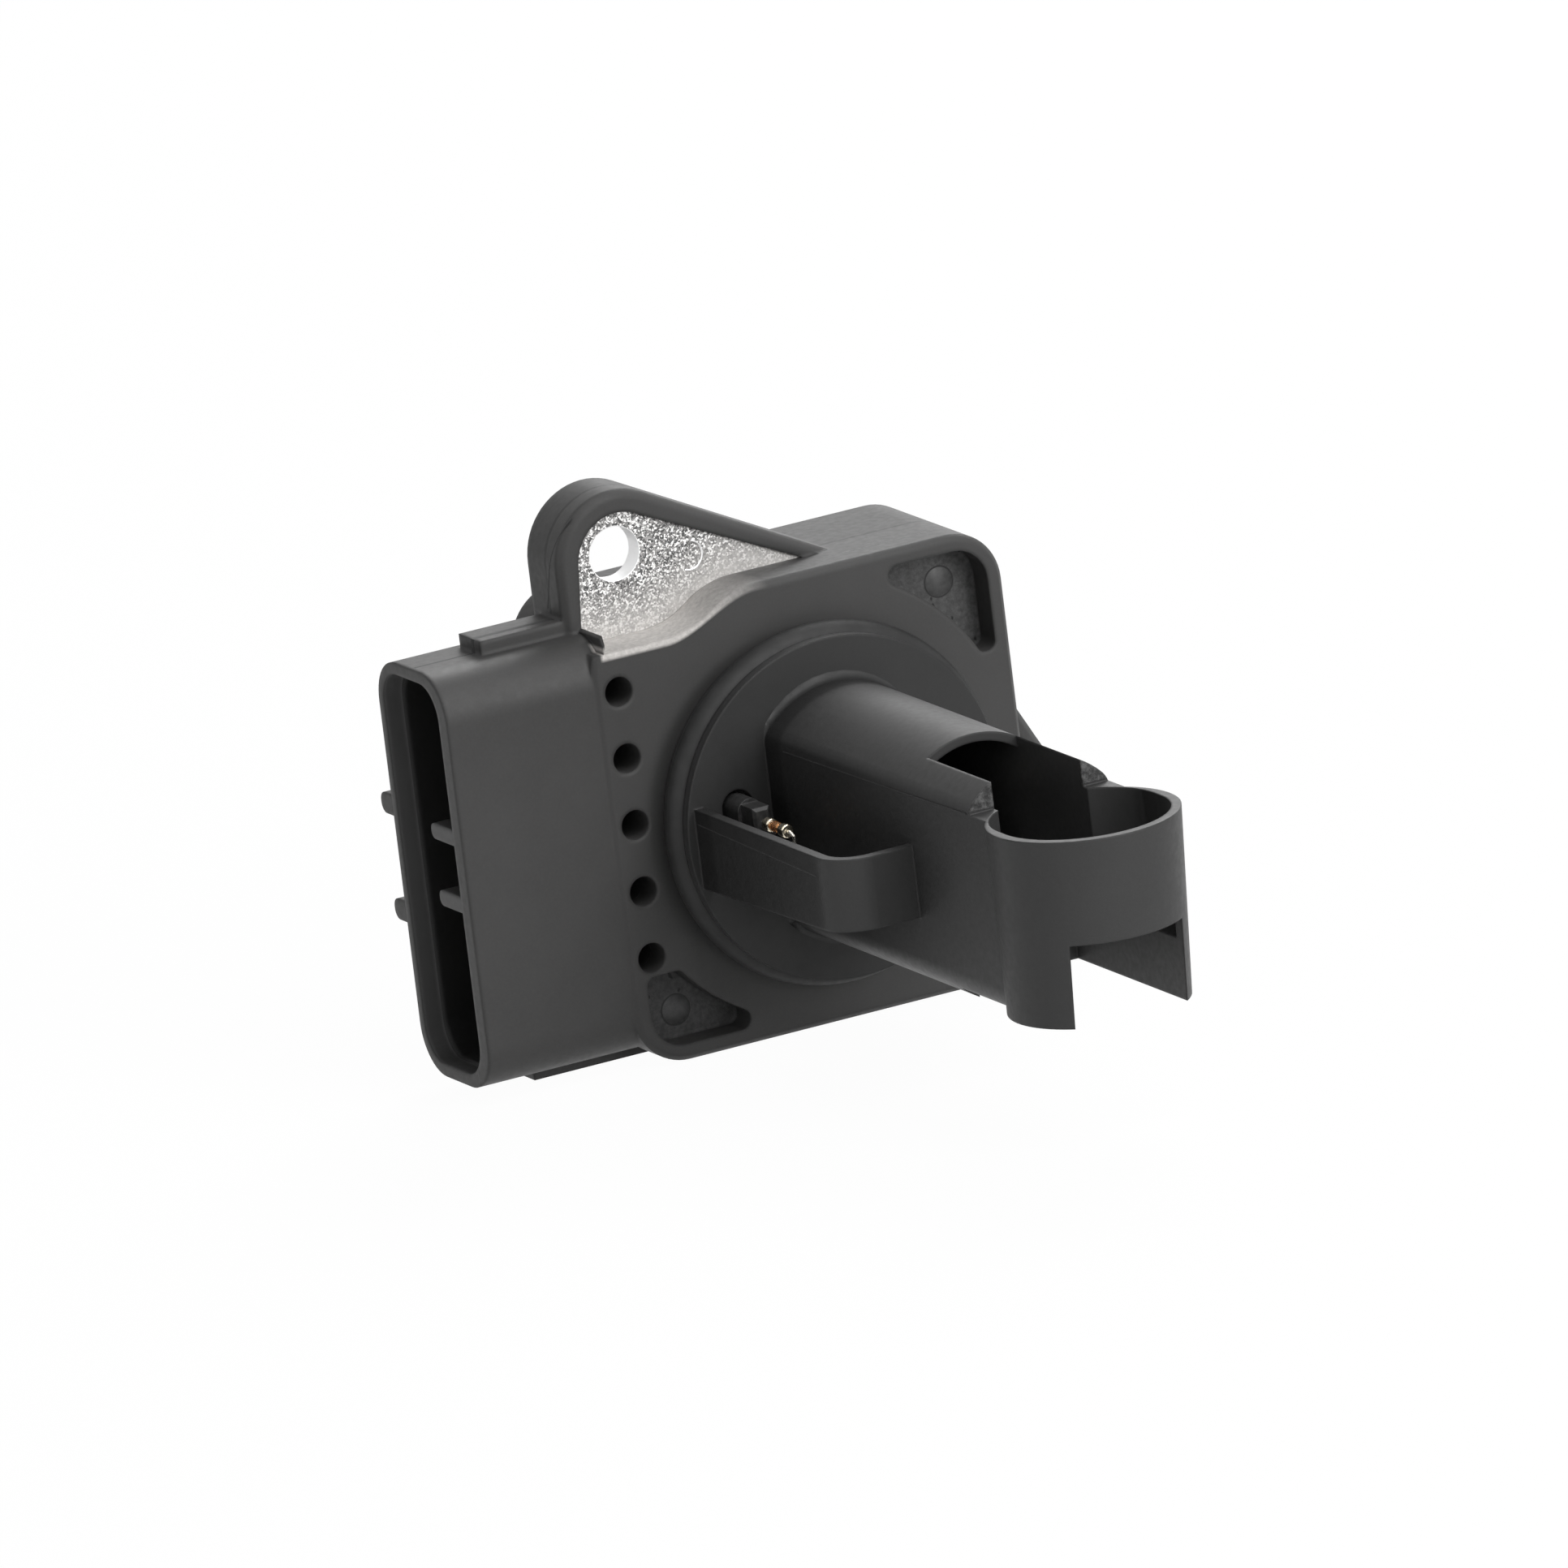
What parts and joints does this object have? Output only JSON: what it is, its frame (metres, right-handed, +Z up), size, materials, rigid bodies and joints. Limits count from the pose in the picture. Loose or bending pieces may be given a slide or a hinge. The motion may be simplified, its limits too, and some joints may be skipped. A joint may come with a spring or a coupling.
{
  "type": "mass airflow sensor",
  "caption": "Plug-in mass airflow sensor: square body with two corner screw ears, a side connector, and a round sealed spigot with a by-pass probe and open end sleeve.",
  "frame": {"origin": "on the axis of the round spigot, at the seating face of the body", "axes": "-Y along the probe into the duct, -X out of the connector's mouth, +Z up as pictured"},
  "size_m": [0.0656, 0.0766, 0.0511],
  "materials": {
    "housing": "glass-filled, fine grain",
    "probe": "glass-filled, fine grain",
    "rear_cover": "glass-filled, fine grain",
    "sealant": "cured silicone",
    "plate_steel": "zinc-plated, lightly pitted",
    "seal_rubber": "moulded, smooth",
    "board": "white ceramic",
    "chip_case": "moulded resin",
    "capacitor_body": "fired ceramic",
    "element_glaze": "glass-coated winding",
    "thermistor_glass": "clear, amber",
    "terminal_metal": "tin-plated brass",
    "lead_metal": "bare wire",
    "holder_resin": "moulded"
  },
  "bodies": {
    "root": {"housing": "housing", "rear_cover": "rear_cover", "cover_seal": "sealant", "mounting_plate": "plate_steel", "probe": "probe", "o_ring": "seal_rubber", "capacitors": "capacitor_body", "circuit_board": "board", "compensating_element": "element_glaze", "control_chip": "chip_case", "hot_element": "element_glaze", "memory_chip": "chip_case", "power_transistor": "chip_case", "resistors": "chip_case", "support_pin_1": "lead_metal", "support_pin_2": "lead_metal", "support_pin_3": "lead_metal", "support_pin_4": "lead_metal", "terminal_1": "terminal_metal", "terminal_2": "terminal_metal", "terminal_3": "terminal_metal", "terminal_4": "terminal_metal", "terminal_5": "terminal_metal", "thermistor": "thermistor_glass", "thermistor_holder": "holder_resin", "thermistor_lead_1": "lead_metal", "thermistor_lead_2": "lead_metal"}
  },
  "joints": []
}
